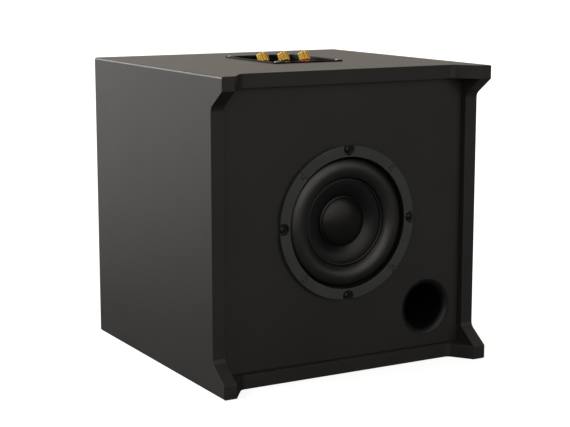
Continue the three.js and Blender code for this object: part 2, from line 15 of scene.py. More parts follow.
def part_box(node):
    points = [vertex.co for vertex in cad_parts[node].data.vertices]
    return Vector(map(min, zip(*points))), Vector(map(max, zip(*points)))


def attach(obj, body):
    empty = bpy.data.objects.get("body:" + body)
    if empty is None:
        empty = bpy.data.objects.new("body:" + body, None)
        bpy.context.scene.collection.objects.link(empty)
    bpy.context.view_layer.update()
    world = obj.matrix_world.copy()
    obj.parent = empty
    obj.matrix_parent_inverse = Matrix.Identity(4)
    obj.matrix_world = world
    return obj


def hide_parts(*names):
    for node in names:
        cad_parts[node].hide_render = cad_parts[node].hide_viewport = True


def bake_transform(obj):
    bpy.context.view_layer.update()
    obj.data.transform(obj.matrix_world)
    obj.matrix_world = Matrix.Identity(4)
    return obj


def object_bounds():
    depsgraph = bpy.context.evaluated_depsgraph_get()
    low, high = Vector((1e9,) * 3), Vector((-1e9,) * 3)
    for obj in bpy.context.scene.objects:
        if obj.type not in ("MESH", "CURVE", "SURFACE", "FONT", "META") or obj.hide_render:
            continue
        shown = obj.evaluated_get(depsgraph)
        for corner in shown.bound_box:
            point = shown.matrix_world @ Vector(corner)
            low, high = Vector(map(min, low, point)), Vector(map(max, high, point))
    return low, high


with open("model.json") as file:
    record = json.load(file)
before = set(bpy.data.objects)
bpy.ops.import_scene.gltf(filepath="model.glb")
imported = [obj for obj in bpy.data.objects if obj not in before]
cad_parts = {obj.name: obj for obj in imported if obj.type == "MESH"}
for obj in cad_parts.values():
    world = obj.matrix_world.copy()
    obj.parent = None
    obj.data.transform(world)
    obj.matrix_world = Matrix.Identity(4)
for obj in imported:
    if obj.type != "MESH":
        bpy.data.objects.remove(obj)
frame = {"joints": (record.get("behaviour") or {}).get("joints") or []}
cad_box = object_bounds()

MM = 0.001
MICRON = 0.000001

# ---------------------------------------------------------------- driving dimensions, millimetres

WALL = 15
LEG_LENGTH = 25
CHAMFER_RUN = 18
CUT_FILLET = 9
EDGE_ROUND = 2.5
REAR_ROUND = 2.0
TIP_ROUND = 0.5
ARRIS_ROUND = 0.4
SEAM_ROUND = 0.4
PANEL_GAP = 0.25

CUTOUT_R = 76
FRAME_R = 82.6
FLANGE = (0.4, 2.0)
SCREW_CIRCLE_R = 79.5
SCREW_HOLE_R = 2.2
GASKET_R = (71.7, 83.7)
GASKET_TOP = 5.5
NOTCH_R = 6.8
NOTCH_CIRCLE_R = 80
SEAM_GAP = 0.38
DOVETAIL = {"start": 76.6, "end": 79.8, "flare": 0.8, "width": 3.4}
LEDGE = {"inner": 69.6, "outer": 74, "z": -4}
BASKET = {"skin": 1.6, "hub": 30, "neck": 46, "shelf": 51.4, "shoulder": 70}
WINDOW = {"count": 6, "half_angle": 22, "radii": (50, 68), "z": (-33, -11)}
ROLL = {"middle": 59, "half_width": 12, "height": 8.2, "foot": -3.1, "thick": 0.8}
CONE = {"rim": 48.3, "flat": 45.3, "neck": 19.7, "depth": 11.5, "curve": 2.2, "thick": 0.9, "z": -4.0}
DUST_CAP = {"r": 26.7, "height": 8, "foot": -9.1, "thick": 0.7}
FORMER = {"inner": 18.8, "outer": 19.3, "z": (-60, -13.5)}
COIL = {"inner": 19.4, "outer": 20.5, "z": (-58, -44), "turns": 24}
SPIDER = {"inner": 19.7, "outer": 50.8, "z": -35.7, "wave": 1.6, "thick": 0.6, "folds": 3}
TOP_PLATE = {"inner": 21.3, "outer": 45, "z": (-54.1, -48.1)}
MAGNET = {"inner": 27, "outer": 50, "z": (-72.2, -54.2)}
YOKE = {"r": 45, "plate": (-78.3, -72.3), "pole": 18.4, "vent": 6}
STRIP = {"half_width": 10, "y": (-66, -49), "z": (-39.5, -37.9)}
TAB = {"x": 6, "half_width": 2.4, "y": (-74, -56), "z": (-40.6, -39.8)}
TINSEL = {"r": 0.8, "y": (-60, -29)}

PORT = {"mouth": 32, "bore": 25, "skin": 2.5, "length": 150, "lip": 3}

CUP = {"flange": 1.5, "skin": 2.2, "gap": 0.1}
PLATE = {"width": 89, "length": 122, "corner": 4, "rim": 2.6, "step": 0.5}
RECESS = {"half_width": 39, "half_length": 55.5, "corner": 13, "shelf": 4, "depth": 27}
RAMP_ANGLE = radians(28)
RAMP_TOP = -24
CUP_SCREW_AT = (39.5, 56)
CUP_HOLE_R = 1.7

POST = {"flange": (0.3, 4.8), "ring": (5.1, 7.1), "cap": (7.4, 17.6), "tail": -16, "tip": 14.2}
POST_R = {"stud": 4, "flange": 6.6, "ring": 6, "cap": 6.75, "socket": 2.1, "bore": 4.4}
CAP_LOBES = 8
CAP_DIP = 1.1
LUG = {"z": (-3.3, -2.5), "r": 6, "reach": 13, "half_width": 2.2}
NUT = {"r": 6.3, "thick": 3.5}
THREAD = {"pitch": 1.0, "depth": 0.35}

BOARD = {"x": (-120, -20), "y": (0, 80), "z": (15.3, 21.3)}
CHOKE = {"at": (-94, 40), "flange": 23, "hub": 9, "bore": 5, "height": 22, "cheek": 2}
CAPACITOR = {"at": (-45, 40), "r": 12, "length": 42}
WIRE_R = 1.4

# ---------------------------------------------------------------- places, from the CAD frame

low, high = cad_box
SIZE = (high.x - low.x) / MM
HALF = SIZE / 2
INNER_HALF = HALF - WALL
MIDDLE = (low + high) / 2
MIDDLE.z = low.z + HALF * MM
baffle_low, baffle_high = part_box("front_baffle")
BAFFLE_Y = baffle_low.y / MM
BAFFLE = (baffle_high.y - baffle_low.y) / MM
port_low, port_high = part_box("port_tube")
plate_low, plate_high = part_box("terminal_cup")
CUP_AT = ((plate_low.x + plate_high.x) / 2 / MM, (plate_low.y + plate_high.y) / 2 / MM)

FACING_FRONT = Matrix.Rotation(pi / 2, 4, "X")
DRIVER = Matrix.Translation((0, baffle_low.y, MIDDLE.z)) @ FACING_FRONT
port_mouth = Vector(((port_low.x + port_high.x) / 2, port_low.y, (port_low.z + port_high.z) / 2))
PORT_AXIS = Matrix.Translation(port_mouth) @ FACING_FRONT
CABINET = Matrix.Translation(MIDDLE)
CUP_PLACE = Matrix.Translation((CUP_AT[0] * MM, CUP_AT[1] * MM, low.z + SIZE * MM))
WORLD = Matrix.Translation((0, 0, low.z))


def post_place(index):
    """Where a post stands and how it leans, from the hinge of its cap."""
    hinge = next(joint for joint in frame["joints"] if joint["name"] == f"post_{index}_unscrew")
    lean = Vector((0, 0, 1)).rotation_difference(Vector(hinge["axis"]))
    return Matrix.Translation(hinge["pos_m"]) @ lean.to_matrix().to_4x4()


# ---------------------------------------------------------------- materials

def srgb(red, green, blue):
    """A colour given in 0 to 255, as the linear values that the shader takes."""
    def linear(value):
        value /= 255
        return value / 12.92 if value <= 0.04045 else ((value + 0.055) / 1.055) ** 2.4
    return (linear(red), linear(green), linear(blue), 1)


def add_node(tree, kind, inputs=None, **settings):
    """Adds a node to a tree, and sets each of its inputs or links it to another node's output."""
    node = tree.nodes.new(kind)
    for key, value in settings.items():
        setattr(node, key, value)
    for key, value in (inputs or {}).items():
        if isinstance(value, bpy.types.NodeSocket):
            tree.links.new(value, node.inputs[key])
        else:
            node.inputs[key].default_value = value
    return node


class Nodes:
    """A small builder for node materials."""

    def __init__(self, name):
        self.material = bpy.data.materials.new(name)
        self.material.use_nodes = True
        self.tree = self.material.node_tree
        self.shader = self.tree.nodes["Principled BSDF"]
        self.place = self.tree.nodes.new("ShaderNodeTexCoord").outputs["Object"]

    def add(self, kind, inputs=None, **settings):
        return add_node(self.tree, kind, inputs, **settings)

    def noise(self, scale, detail=4.0, stretch=(1, 1, 1)):
        mapped = self.add("ShaderNodeMapping", {"Vector": self.place, "Scale": stretch}).outputs["Vector"]
        settings = {"Vector": mapped, "Scale": scale, "Detail": detail, "Roughness": 0.55}
        return self.add("ShaderNodeTexNoise", settings).outputs["Fac"]

    def spread(self, value, low, high, source=(0.3, 0.7)):
        start, end = source
        settings = {"Value": value, "From Min": start, "From Max": end, "To Min": low, "To Max": high}
        return self.add("ShaderNodeMapRange", settings).outputs["Result"]

    def math(self, operation, first, second):
        return self.add("ShaderNodeMath", {0: first, 1: second}, operation=operation).outputs[0]

    def mix(self, factor, first, second):
        settings = {"Fac": factor, "Color1": first, "Color2": second}
        return self.add("ShaderNodeMixRGB", settings).outputs["Color"]

    def link(self, value, key):
        self.tree.links.new(value, self.shader.inputs[key])


def scaled(color, factor):
    return tuple(min(1, channel * factor) for channel in color[:3]) + (1,)


def surface(name, color, roughness, metallic=0.0, mottle=0.1, patch=60, uneven=0.06, grain=(1500, 10),
            wear=0.0, stretch=(1, 1, 1), specular=0.5, coat=0.0, sheen=0.0, weave=None):
    """A finish with patches of colour, uneven gloss, a fine grain in relief, and paler edges where it wears.

    patch is how many patches there are per metre, and grain is (how fine per metre, how deep in microns).
    """
    nodes = Nodes(name)
    patches = nodes.noise(patch, detail=5)
    tint = nodes.mix(nodes.spread(patches, 0, 1), scaled(color, 1 - mottle), scaled(color, 1 + mottle))
    fine = nodes.noise(grain[0], detail=3, stretch=stretch)
    tint = nodes.mix(nodes.spread(fine, 0, 0.5 * mottle), tint, scaled(color, 1 - 3 * mottle))
    height = fine
    if weave:
        bands = {"Vector": nodes.place, "Scale": weave, "Distortion": 0.4, "Detail": 1}
        across = [nodes.add("ShaderNodeTexWave", bands, bands_direction=axis).outputs["Fac"] for axis in "XZ"]
        height = nodes.math("ADD", nodes.math("MAXIMUM", *across), nodes.math("MULTIPLY", fine, 0.4))
        # Painted shade in the weave: the cloth is darkened, most where its threads dip.
        tint = nodes.mix(nodes.spread(height, 0, 0.5, (0.2, 1.2)), scaled(color, 0.6), tint)
    if wear:
        eased = nodes.add("ShaderNodeBevel", {"Radius": 0.0016}, samples=4).outputs["Normal"]
        true = nodes.add("ShaderNodeNewGeometry").outputs["Normal"]
        facing = nodes.add("ShaderNodeVectorMath", {0: eased, 1: true}, operation="DOT_PRODUCT")
        edge = nodes.spread(facing.outputs["Value"], 1, 0, (0.75, 0.99))
        rubbed = nodes.math("MULTIPLY", edge, nodes.spread(nodes.noise(180), 0.2 * wear, wear))
        tint = nodes.mix(rubbed, tint, scaled(color, 2.6))
    gloss = nodes.spread(nodes.noise(patch * 3, detail=6), roughness - uneven, roughness + uneven)
    bump = nodes.add("ShaderNodeBump", {"Height": height, "Strength": 1.0, "Distance": grain[1] * MICRON})
    nodes.link(tint, "Base Color")
    nodes.link(gloss, "Roughness")
    nodes.link(bump.outputs["Normal"], "Normal")
    plain = {
        "Metallic": metallic,
        "Specular IOR Level": specular,
        "Coat Weight": coat,
        "Sheen Weight": sheen,
    }
    for key, value in plain.items():
        nodes.shader.inputs[key].default_value = value
    return nodes.material


MATERIALS = {
    "cabinet_paint": surface(
        "satin_lacquer", srgb(47, 45, 43), 0.45, patch=14, uneven=0.015, grain=(1400, 3), wear=0.4,
    ),
    "wadding": surface(
        "wadding_fibre", srgb(222, 219, 210), 0.95, grain=(700, 600), stretch=(1, 1, 0.3), sheen=0.5,
    ),
    "pressed_frame": surface(
        "powder_coat", srgb(30, 30, 30), 0.5, mottle=0.15, patch=25, grain=(1600, 50), wear=0.3,
    ),
    "gasket_foam": surface("gasket_rubber", srgb(69, 73, 70), 0.6, mottle=0.12, grain=(1800, 10), wear=0.25),
    "surround_rubber": surface("surround_rubber", srgb(9, 9, 9), 0.38, patch=40, specular=1.0),
    "cone_paper": surface(
        "cone_pulp", srgb(7, 7, 9), 0.36, mottle=0.2, patch=90, grain=(650, 20), stretch=(1, 1, 0.5),
    ),
    "dust_cap_paper": surface(
        "dust_cap_pulp", srgb(11, 11, 10), 0.34, mottle=0.14, patch=70, grain=(1100, 10),
    ),
    "former_paper": surface("phenolic_paper", srgb(138, 106, 66), 0.7, mottle=0.2, patch=80, grain=(900, 40)),
    "copper": surface(
        "enamelled_copper", srgb(190, 108, 52), 0.3, metallic=1, mottle=0.15, patch=90, coat=0.4,
    ),
    "spider_cloth": surface(
        "spider_cloth", srgb(190, 160, 100), 0.85, mottle=0.12, grain=(2000, 120), weave=900,
    ),
    "motor_steel": surface(
        "zinc_steel", srgb(165, 165, 168), 0.36, metallic=1, grain=(1400, 10), stretch=(1, 0.2, 1),
    ),
    "ferrite": surface("ferrite", srgb(42, 42, 44), 0.7, mottle=0.2, patch=120, grain=(1200, 60), wear=0.4),
    "tinned_steel": surface(
        "bright_zinc", srgb(168, 169, 171), 0.3, metallic=1, mottle=0.08, patch=300, grain=(2500, 6),
    ),
    "black_screw": surface(
        "black_oxide", srgb(34, 33, 32), 0.4, metallic=0.3, mottle=0.15, patch=300, grain=(2500, 10),
        wear=0.6,
    ),
    "black_plastic": surface("moulded_plastic", srgb(15, 15, 16), 0.46, grain=(1700, 10), wear=0.2),
    # The terminal cup's plastic is a darker, less shiny copy of the black plastic, which paints the shade
    # inside the cup's recess.
    "cup_plastic_painted_shade": surface("matt_plastic_painted_shade", srgb(10, 10, 11), 0.55, grain=(1700, 10), specular=0.15),
    "gold_plate": surface(
        "gold_plate", srgb(255, 208, 98), 0.26, metallic=0.85, mottle=0.03, uneven=0.02, grain=(2500, 1),
    ),
    "red_band": surface(
        "red_ring", srgb(204, 36, 22), 0.3, mottle=0.08, patch=300, grain=(2500, 10), coat=0.4,
    ),
    "black_band": surface("black_ring", srgb(16, 16, 16), 0.3, patch=300, grain=(2500, 10), coat=0.4),
    "red_wire": surface("red_sleeve", srgb(170, 26, 20), 0.45, patch=80, grain=(1500, 20)),
    "black_wire": surface("black_sleeve", srgb(22, 22, 22), 0.45, patch=80, grain=(1500, 20)),
    "board": surface(
        "bare_board", srgb(136, 104, 68), 0.85, mottle=0.16, patch=120, grain=(900, 100), stretch=(0.3, 1, 1),
    ),
    "film_capacitor": surface("film_wrap", srgb(204, 166, 40), 0.35, mottle=0.08, grain=(900, 20), coat=0.3),
}

# ---------------------------------------------------------------- outlines

def polar(radius, angle):
    return Vector((radius * cos(angle), radius * sin(angle)))


def shares(count):
    return [i / count for i in range(count + 1)]


def arc(centre, radii, start, end, count):
    """Points on an ellipse of the half-widths given, from one angle in degrees to another.

    Each has 0 as its third number, so that rounded() leaves it sharp.
    """
    points = []
    for share in shares(count):
        angle = radians(start + (end - start) * share)
        points.append((centre[0] + radii[0] * cos(angle), centre[1] + radii[1] * sin(angle), 0))
    return points


def rounded(corners, radius=0.4, count=3):
    """A closed outline with its corners rounded. A corner is (x, y), or (x, y, its own radius)."""
    outline = []
    for i, corner in enumerate(corners):
        here = Vector(corner[:2])
        wanted = corner[2] if len(corner) > 2 else radius
        back = Vector(corners[i - 1][:2]) - here
        ahead = Vector(corners[(i + 1) % len(corners)][:2]) - here
        opening = back.angle(ahead, pi)
        if wanted == 0 or opening > radians(175):
            outline.append(here)
            continue
        run = min(wanted / tan(opening / 2), 0.45 * back.length, 0.45 * ahead.length)
        into = (back.normalized() + ahead.normalized()).normalized()
        centre = here + into * (run / cos(opening / 2))
        first = here + back.normalized() * run - centre
        last = here + ahead.normalized() * run - centre
        sweep = first.angle(last)
        for share in shares(count):
            weights = sin((1 - share) * sweep), sin(share * sweep)
            outline.append(centre + (first * weights[0] + last * weights[1]) / sin(sweep))
    return outline


def ring(inner, outer, heights, radius):
    bottom, top = heights
    return rounded([(inner, bottom), (outer, bottom), (outer, top), (inner, top)], radius)


def quarters():
    return [i * pi / 2 for i in range(4)]


# ---------------------------------------------------------------- solids

def solid(name, shape, place=WORLD):
    """Makes an object from a bmesh drawn in millimetres."""
    bmesh.ops.recalc_face_normals(shape, faces=shape.faces)
    shape.transform(place @ Matrix.Scale(MM, 4))
    mesh = bpy.data.meshes.new(name)
    shape.to_mesh(mesh)
    shape.free()
    piece = bpy.data.objects.new(name, mesh)
    bpy.context.scene.collection.objects.link(piece)
    return piece


def turned(name, outline, place=WORLD, segments=96, swell=None):
    """Turns a closed outline of (radius, height) about Z.

    swell(radius, height, angle) may give another radius. A point on the axis becomes a single vertex.
    """
    shape = bmesh.new()
    rings = []
    for point in outline:
        radius, height = point[0], point[1]
        if radius < 1e-6:
            rings.append([shape.verts.new((0, 0, height))])
            continue
        ring = []
        for i in range(segments):
            angle = 2 * pi * i / segments
            reach = swell(radius, height, angle) if swell else radius
            ring.append(shape.verts.new((*polar(reach, angle), height)))
        rings.append(ring)
    for near, far in zip(rings, rings[1:] + rings[:1]):
        if len(near) == len(far) == 1:
            continue
        for i in range(segments):
            j = i + 1
            loop = [near[i % len(near)], near[j % len(near)], far[j % len(far)], far[i % len(far)]]
            shape.faces.new(list(dict.fromkeys(loop)))
    return solid(name, shape, place)


def prism(name, outline, bottom, top, place=WORLD):
    """An outline of (x, y) pulled up from one height to another."""
    shape = bmesh.new()
    floor = [shape.verts.new((point[0], point[1], bottom)) for point in outline]
    roof = [shape.verts.new((point[0], point[1], top)) for point in outline]
    shape.faces.new(floor)
    shape.faces.new(roof)
    for i in range(len(outline)):
        j = (i + 1) % len(outline)
        shape.faces.new((floor[i], floor[j], roof[j], roof[i]))
    return solid(name, shape, place)


def block(name, x, y, z, place=WORLD):
    return prism(name, [(x[0], y[0]), (x[1], y[0]), (x[1], y[1]), (x[0], y[1])], z[0], z[1], place)


def rod(name, radius, bottom, top, place=WORLD, at=(0, 0), segments=48):
    outline = [polar(radius, 2 * pi * i / segments) + Vector(at) for i in range(segments)]
    return prism(name, outline, bottom, top, place)


def cable(name, points, radius, place=WORLD, sides=16, steps=14):
    """A round cable along a smooth curve through the points, with flat ends."""
    knots = [Vector(point) for point in points]
    knots = [2 * knots[0] - knots[1]] + knots + [2 * knots[-1] - knots[-2]]
    path = []
    for a, b, c, d in zip(knots, knots[1:], knots[2:], knots[3:]):
        for share in shares(steps)[:-1]:
            bend = 2 * b + (c - a) * share + (2 * a - 5 * b + 4 * c - d) * share ** 2
            path.append(0.5 * (bend + (3 * b - a - 3 * c + d) * share ** 3))
    path.append(knots[-2])
    shape = bmesh.new()
    rings = []
    across = Vector((0, 0, 1))
    for i, point in enumerate(path):
        along = (path[min(i + 1, len(path) - 1)] - path[max(i - 1, 0)]).normalized()
        across = across - along * across.dot(along)
        if across.length < 1e-3:
            across = along.orthogonal()
        across.normalize()
        side = along.cross(across)
        ring = []
        for k in range(sides):
            turn = 2 * pi * k / sides
            ring.append(shape.verts.new(point + radius * (across * cos(turn) + side * sin(turn))))
        rings.append(ring)
    for near, far in zip(rings, rings[1:]):
        for k in range(sides):
            shape.faces.new((near[k], near[(k + 1) % sides], far[(k + 1) % sides], far[k]))
    shape.faces.new(rings[0])
    shape.faces.new(rings[-1])
    return solid(name, shape, place)


def modify(piece, kind, **settings):
    modifier = piece.modifiers.new(kind.lower(), kind)
    for key, value in settings.items():
        setattr(modifier, key, value)


def settle(piece):
    """Applies a piece's modifiers to its mesh."""
    evaluated = piece.evaluated_get(bpy.context.evaluated_depsgraph_get())
    mesh = bpy.data.meshes.new_from_object(evaluated)
    piece.modifiers.clear()
    piece.data = mesh
    return piece


def carve(piece, *tools, operation="DIFFERENCE"):
    for tool in tools:
        modify(piece, "BOOLEAN", operation=operation, solver="EXACT", object=tool)
    settle(piece)
    for tool in tools:
        bpy.data.objects.remove(tool)
    return piece


def ease(piece, width, segments=3, angle=30):
    """Rounds every edge sharper than the angle."""
    limit = radians(angle)
    modify(piece, "BEVEL", width=width * MM, segments=segments, limit_method="ANGLE", angle_limit=limit)
    return settle(piece)


def dress(piece, slot, sharp=38):
    """Gives a piece its finish, and shades its curves smooth and its flats flat."""
    piece.data.materials.clear()
    piece.data.materials.append(MATERIALS[slot])
    piece.data.shade_smooth()
    piece.data.set_sharp_from_angle(angle=radians(sharp))
    modify(piece, "WEIGHTED_NORMAL", keep_sharp=True)
    return piece


def fit(piece, slot, *nodes, body="root", sharp=38):
    """Dresses a piece, lets it ride on a body, and shows it in place of the CAD nodes."""
    dress(piece, slot, sharp)
    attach(piece, body)
    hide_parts(*nodes)
    return piece


# ---------------------------------------------------------------- cabinet

def leg_cutout(name, place):
    """What is taken away between two legs: a shallow trapezoid, open at the front."""
    edge = -HALF + LEG_LENGTH
    corner = INNER_HALF - CHAMFER_RUN
    outline = rounded([
        (-INNER_HALF, -HALF - WALL, 0),
        (INNER_HALF, -HALF - WALL, 0),
        (INNER_HALF, -HALF, 0),
        (corner, edge, CUT_FILLET),
        (-corner, edge, CUT_FILLET),
        (-INNER_HALF, -HALF, 0),
    ], count=8)
    return prism(name, outline, -SIZE, SIZE, place)


def edge_round(edge):
    """How far an edge of the shell is rounded."""
    if not edge.is_manifold or edge.calc_face_angle_signed() < radians(20):
        return 0
    ends = [vert.co / MM - MIDDLE / MM for vert in edge.verts]
    limit = HALF - 0.1
    if all(min(abs(end.x), abs(end.z)) > limit for end in ends):
        return EDGE_ROUND
    if all(end.y > limit for end in ends):
        return REAR_ROUND if all(max(abs(end.x), abs(end.z)) > limit for end in ends) else SEAM_ROUND
    if all(end.y < -limit for end in ends):
        return TIP_ROUND
    return ARRIS_ROUND


def cabinet_shell():
    """All four walls in one, with their edges rounded."""
    shell = block("shell", (-HALF, HALF), (-HALF, HALF), (-HALF, HALF), CABINET)
    carve(
        shell,
        block("bore", (-INNER_HALF, INNER_HALF), (-SIZE, SIZE), (-INNER_HALF, INNER_HALF), CABINET),
        leg_cutout("cut_top_bottom", CABINET),
        leg_cutout("cut_sides", CABINET @ Matrix.Rotation(pi / 2, 4, "Y")),
    )
    shape = bmesh.new()
    shape.from_mesh(shell.data)
    bmesh.ops.dissolve_limit(shape, angle_limit=radians(0.5), verts=shape.verts, edges=shape.edges)
    weight = shape.edges.layers.float.new("bevel_weight_edge")
    for edge in shape.edges:
        edge[weight] = edge_round(edge) / EDGE_ROUND
    shape.to_mesh(shell.data)
    shape.free()
    rounding = {"width": EDGE_ROUND * MM, "segments": 6, "use_clamp_overlap": False}
    modify(shell, "BEVEL", limit_method="WEIGHT", **rounding)
    settle(shell)
    for vertex in shell.data.vertices:
        vertex.co.y = max(vertex.co.y, -HALF * MM)
    return shell


def wall_of(shell, name, outward):
    """The side of the shell that faces one way, cut off along its two mitres."""
    shape = bmesh.new()
    shape.from_mesh(shell.data)
    beside = outward.cross(Vector((0, 1, 0)))
    for side in (-1, 1):
        bmesh.ops.bisect_plane(
            shape,
            geom=shape.verts[:] + shape.edges[:] + shape.faces[:],
            dist=1e-6,
            plane_co=MIDDLE,
            plane_no=(outward + side * beside).normalized(),
            clear_inner=True,
        )
        rim = [edge for edge in shape.edges if edge.is_boundary]
        bmesh.ops.holes_fill(shape, edges=rim, sides=0)
    shape.transform(Matrix.Scale(1 / MM, 4))
    return solid(name, shape, Matrix())


def cabinet():
    shell = cabinet_shell()
    sides = {
        "left": Vector((-1, 0, 0)),
        "right": Vector((1, 0, 0)),
        "top": Vector((0, 0, 1)),
        "bottom": Vector((0, 0, -1)),
    }
    for side, outward in sides.items():
        wall = wall_of(shell, f"wall_{side}", outward)
        if side == "top":
            window = prism("window", recess_outline(CUP["skin"] + 0.5), -2 * WALL, WALL, CUP_PLACE)
            holes = [rod("pilot", CUP_HOLE_R, -12, 1, CUP_PLACE, at) for at in cup_screw_places()]
            carve(wall, window, *holes)
        fit(wall, "cabinet_paint", f"{side}_panel")
    bpy.data.objects.remove(shell)

    half = INNER_HALF - PANEL_GAP
    rear = block("rear_board", (-half, half), (HALF - WALL, HALF), (-half, half), CABINET)
    fit(ease(rear, SEAM_ROUND), "cabinet_paint", "rear_panel")

    baffle = block("baffle_board", (-half, half), (-half, half), (-BAFFLE, 0), DRIVER)
    port_at = [(PORT_AXIS.translation[axis] - DRIVER.translation[axis]) / MM for axis in (0, 2)]
    flare = PORT["mouth"] - PORT["bore"]
    carve(
        ease(baffle, 0.5, segments=2),
        rod("driver_hole", CUTOUT_R, -2 * BAFFLE, BAFFLE, DRIVER, segments=128),
        rod("port_hole", PORT["bore"] + PORT["skin"] + 0.3, -2 * BAFFLE, BAFFLE, DRIVER, port_at, 96),
        rod("port_seat", PORT["mouth"] + 0.06, -PORT["lip"] - flare - 0.3, BAFFLE, DRIVER, port_at, 128),
        *frame_screw_holes(-15, 1),
    )
    fit(baffle, "cabinet_paint", "front_baffle")


def wadding():
    """A blanket of loose fibre: thick in the middle, thin at its edges, lumpy all over."""
    low_corner, high_corner = (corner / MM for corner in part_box("damping_wadding"))
    middle = (low_corner + high_corner) / 2
    reach = (high_corner - low_corner) / 2
    count = 56
    shape = bmesh.new()
    layers = []
    for side in (-1, 1):
        layer = []
        for u in shares(count):
            for v in shares(count):
                x, z = 2 * u - 1, 2 * v - 1
                plump = max(0.0, (1 - abs(x) ** 8) * (1 - abs(z) ** 8)) ** 0.5
                pull = 1 - 0.06 * (abs(x) * abs(z)) ** 3
                spot = Vector((x * 4.5, z * 4.5, side * 3.7))
                lump = 0.75 + 0.22 * noise.noise(spot) + 0.1 * noise.noise(spot * 3.3)
                wave = 0.012 * noise.noise(Vector((x * 6, z * 6, 9)))
                layer.append(shape.verts.new((
                    middle.x + reach.x * (0.985 * x * pull + wave),
                    middle.y + side * reach.y * min(0.98, lump) * plump,
                    middle.z + reach.z * (0.985 * z * pull + wave),
                )))
        layers.append(layer)
    for layer in layers:
        for i in range(count):
            for j in range(count):
                a = i * (count + 1) + j
                shape.faces.new((layer[a], layer[a + 1], layer[a + count + 2], layer[a + count + 1]))
    bmesh.ops.remove_doubles(shape, verts=shape.verts, dist=1e-4)
    piece = solid("wadding_blanket", shape)
    modify(piece, "SUBSURF", levels=1, render_levels=1)
    fit(settle(piece), "wadding", "damping_wadding", sharp=80)


# ---------------------------------------------------------------- driver

def frame_screw_holes(bottom, top):
    places = [polar(SCREW_CIRCLE_R, angle) for angle in quarters()]
    return [rod("hole", SCREW_HOLE_R, bottom, top, DRIVER, at, 24) for at in places]


def driver_frame():
    """A pressed pan: a flange, a ledge for the surround, windows, a shelf for the spider, and a neck."""
    skin, hub, neck, shelf, shoulder = BASKET.values()
    under, top = FLANGE
    inner, edge, seat = LEDGE.values()
    ledge = SPIDER["z"] - 0.3
    bottom = TOP_PLATE["z"][1] + 0.1
    outline = rounded([
        (hub, bottom),
        (neck + skin, bottom, 1.5),
        (neck + skin, ledge - skin, 0.8),
        (shelf + skin, ledge - skin, 1.8),
        (shelf + skin, ledge + 2, 1.0),
        (shoulder, -10, 2.0),
        (shoulder + 1.5, seat - skin, 0.8),
        (edge + skin, seat - skin, 0.9),
        (edge + skin, under, 0.3),
        (FRAME_R, under),
        (FRAME_R, top, 0.6),
        (edge, top, 0.3),
        (edge, seat),
        (inner, seat, 0.8),
        (shoulder - skin, -9.5, 2.0),
        (shelf, ledge + 2.6, 1.5),
        (shelf, ledge, 0.2),
        (neck, ledge, 0.8),
        (neck, bottom + skin, 0.8),
        (hub, bottom + skin),
    ], radius=0.3)
    basket = turned("driver_basket", outline, DRIVER, 144)
    near, far = WINDOW["radii"]
    windows = []
    for i in range(WINDOW["count"]):
        heading = 360 * (i + 0.5) / WINDOW["count"]
        start, end = [radians(heading + side * WINDOW["half_angle"]) for side in (-1, 1)]
        sector = [
            (*polar(far, start), 4),
            (*polar(far + 2, radians(heading)), 30),
            (*polar(far, end), 4),
            (*polar(near, end), 4),
            (*polar(near, start), 4),
        ]
        windows.append(prism("window", rounded(sector, count=4), *WINDOW["z"], DRIVER))
    carve(basket, *windows, *frame_screw_holes(-2, 3))
    fit(basket, "pressed_frame", "basket")


def gasket():
    """Four quarters of the flange gasket, locked together by dovetails, with a notch round each screw.

    A black ring sits inside them, on the lip of the surround. It is a dark sleeve along their inner wall that
    paints the shade falling there.
    """
    inner, outer = GASKET_R
    skirt = LEDGE["outer"] - 0.3
    lip = FLANGE[1] + 0.1
    crown = GASKET_TOP - 1
    # Painted shade: a dark sleeve along the gasket's inner wall, standing in for the shade that falls there.
    shade_sleeve = ring(inner, skirt - 0.1, (LEDGE["z"] + 1.3, crown - 0.1), 0.3)
    segments = [f"gasket_segment_{i}" for i in (1, 2, 3, 4)]
    fit(turned("shade_sleeve_ring", shade_sleeve, DRIVER, 144), "pressed_frame", *segments)
    outline = rounded([
        (inner, crown, 0.1),
        (skirt, crown, 0.1),
        (skirt, lip, 0.1),
        (outer, lip, 0.2),
        (outer, GASKET_TOP, 1.1),
        (inner, GASKET_TOP, 0.6),
    ], radius=0.2)

    start, end, flare, width = DOVETAIL.values()

    def joint(turn, side):
        """The line where two quarters meet, moved a little to one side of it."""
        gap = -SEAM_GAP * side
        dovetail = [
            (inner - 3, gap),
            (start - gap, gap),
            (start - flare - gap, width + gap),
            (end + flare + gap, width + gap),
            (end + gap, gap),
            (outer + 6, gap),
        ]
        return [Matrix.Rotation(turn, 2) @ Vector(point) for point in dovetail]

    for i, angle in enumerate(quarters()):
        segment = turned(f"gasket_quarter_{i + 1}", outline, DRIVER, 144)
        sector = [
            *reversed(joint(angle - pi / 4, -1)),
            *joint(angle + pi / 4, 1),
            polar(1.55 * outer, angle),
        ]
        carve(segment, prism("sector", sector, -9, 9, DRIVER), operation="INTERSECT")
        carve(segment, rod("notch", NOTCH_R, lip - 0.4, 9, DRIVER, polar(NOTCH_CIRCLE_R, angle), 40))
        fit(segment, "gasket_foam", segments[i])


